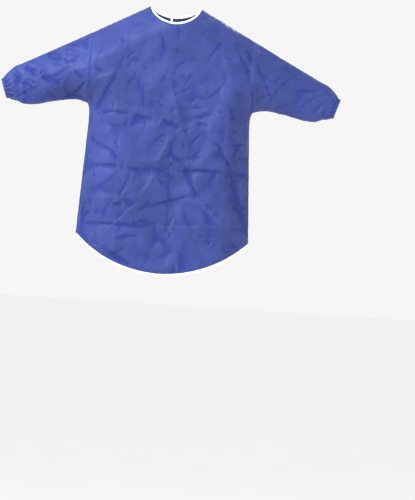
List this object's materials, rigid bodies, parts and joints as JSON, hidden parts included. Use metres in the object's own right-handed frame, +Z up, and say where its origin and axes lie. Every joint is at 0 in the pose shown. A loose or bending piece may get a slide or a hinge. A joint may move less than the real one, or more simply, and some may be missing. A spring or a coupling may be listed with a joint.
{
  "type": "artist smock apron",
  "caption": "Child's long-sleeved art smock in thin blue coated cloth, white bound neck and hem, elastic cuffs, and two lapped back flaps that open.",
  "frame": {"origin": "middle of the neck opening, on the line through the two neck points, in the plane of the flat back", "axes": "+Z up along the standing garment, -Y towards the front, +X towards the wearer's left"},
  "size_m": [0.876, 0.0724, 0.6956],
  "materials": {
    "blue_coated_nylon": "thin plain-weave nylon with a soft coated sheen",
    "white_binding": "folded bias tape, matte",
    "elastic_band": "braided elastic",
    "hook_tape": "fine hooks on a woven tape",
    "loop_tape": "brushed loops",
    "seam_allowance": "overlocked raw edges"
  },
  "bodies": {
    "smock_body": {"front_panel": "blue_coated_nylon", "back_side_left": "blue_coated_nylon", "back_side_right": "blue_coated_nylon", "neck_binding_front": "white_binding", "hem_binding": "white_binding", "shoulder_seam_left": "seam_allowance", "shoulder_seam_right": "seam_allowance", "side_seam_left": "seam_allowance", "side_seam_right": "seam_allowance", "armhole_seam_left": "seam_allowance", "armhole_seam_right": "seam_allowance", "sleeve_head_left": "blue_coated_nylon", "sleeve_head_right": "blue_coated_nylon"},
    "right_flap": {"back_flap_right": "blue_coated_nylon", "neck_binding_back_right": "white_binding", "back_edge_binding_right": "white_binding", "hook_patch": "hook_tape"},
    "left_flap": {"back_flap_left": "blue_coated_nylon", "neck_binding_back_left": "white_binding", "back_edge_binding_left": "white_binding", "loop_patch": "loop_tape"},
    "right_sleeve": {"sleeve_right": "blue_coated_nylon", "underarm_seam_right": "seam_allowance", "cuff_casing_right": "blue_coated_nylon", "cuff_elastic_right": "elastic_band"},
    "left_sleeve": {"sleeve_left": "blue_coated_nylon", "underarm_seam_left": "seam_allowance", "cuff_casing_left": "blue_coated_nylon", "cuff_elastic_left": "elastic_band"}
  },
  "joints": [
    {"name": "right_flap_open", "type": "hinge", "parent": "smock_body", "child": "right_flap", "pos_m": [-0.065, 0, 0], "axis": [0.255, 0, 0.9669], "range_deg": [0, 140]},
    {"name": "left_flap_open", "type": "hinge", "parent": "smock_body", "child": "left_flap", "pos_m": [0.065, 0, 0], "axis": [0.255, 0, -0.9669], "range_deg": [0, 112]},
    {"name": "right_sleeve_swing", "type": "hinge", "parent": "smock_body", "child": "right_sleeve", "pos_m": [-0.213, -0.033, 0], "axis": [0, 0, 1], "range_deg": [-15, 85], "deforming": ["sleeve_head_right"]},
    {"name": "left_sleeve_swing", "type": "hinge", "parent": "smock_body", "child": "left_sleeve", "pos_m": [0.213, -0.033, 0], "axis": [0, 0, -1], "range_deg": [-15, 85], "deforming": ["sleeve_head_left"]}
  ],
  "couplings": [
    {"joint": "left_flap_open", "follows": "right_flap_open", "ratio": 0.8}
  ]
}
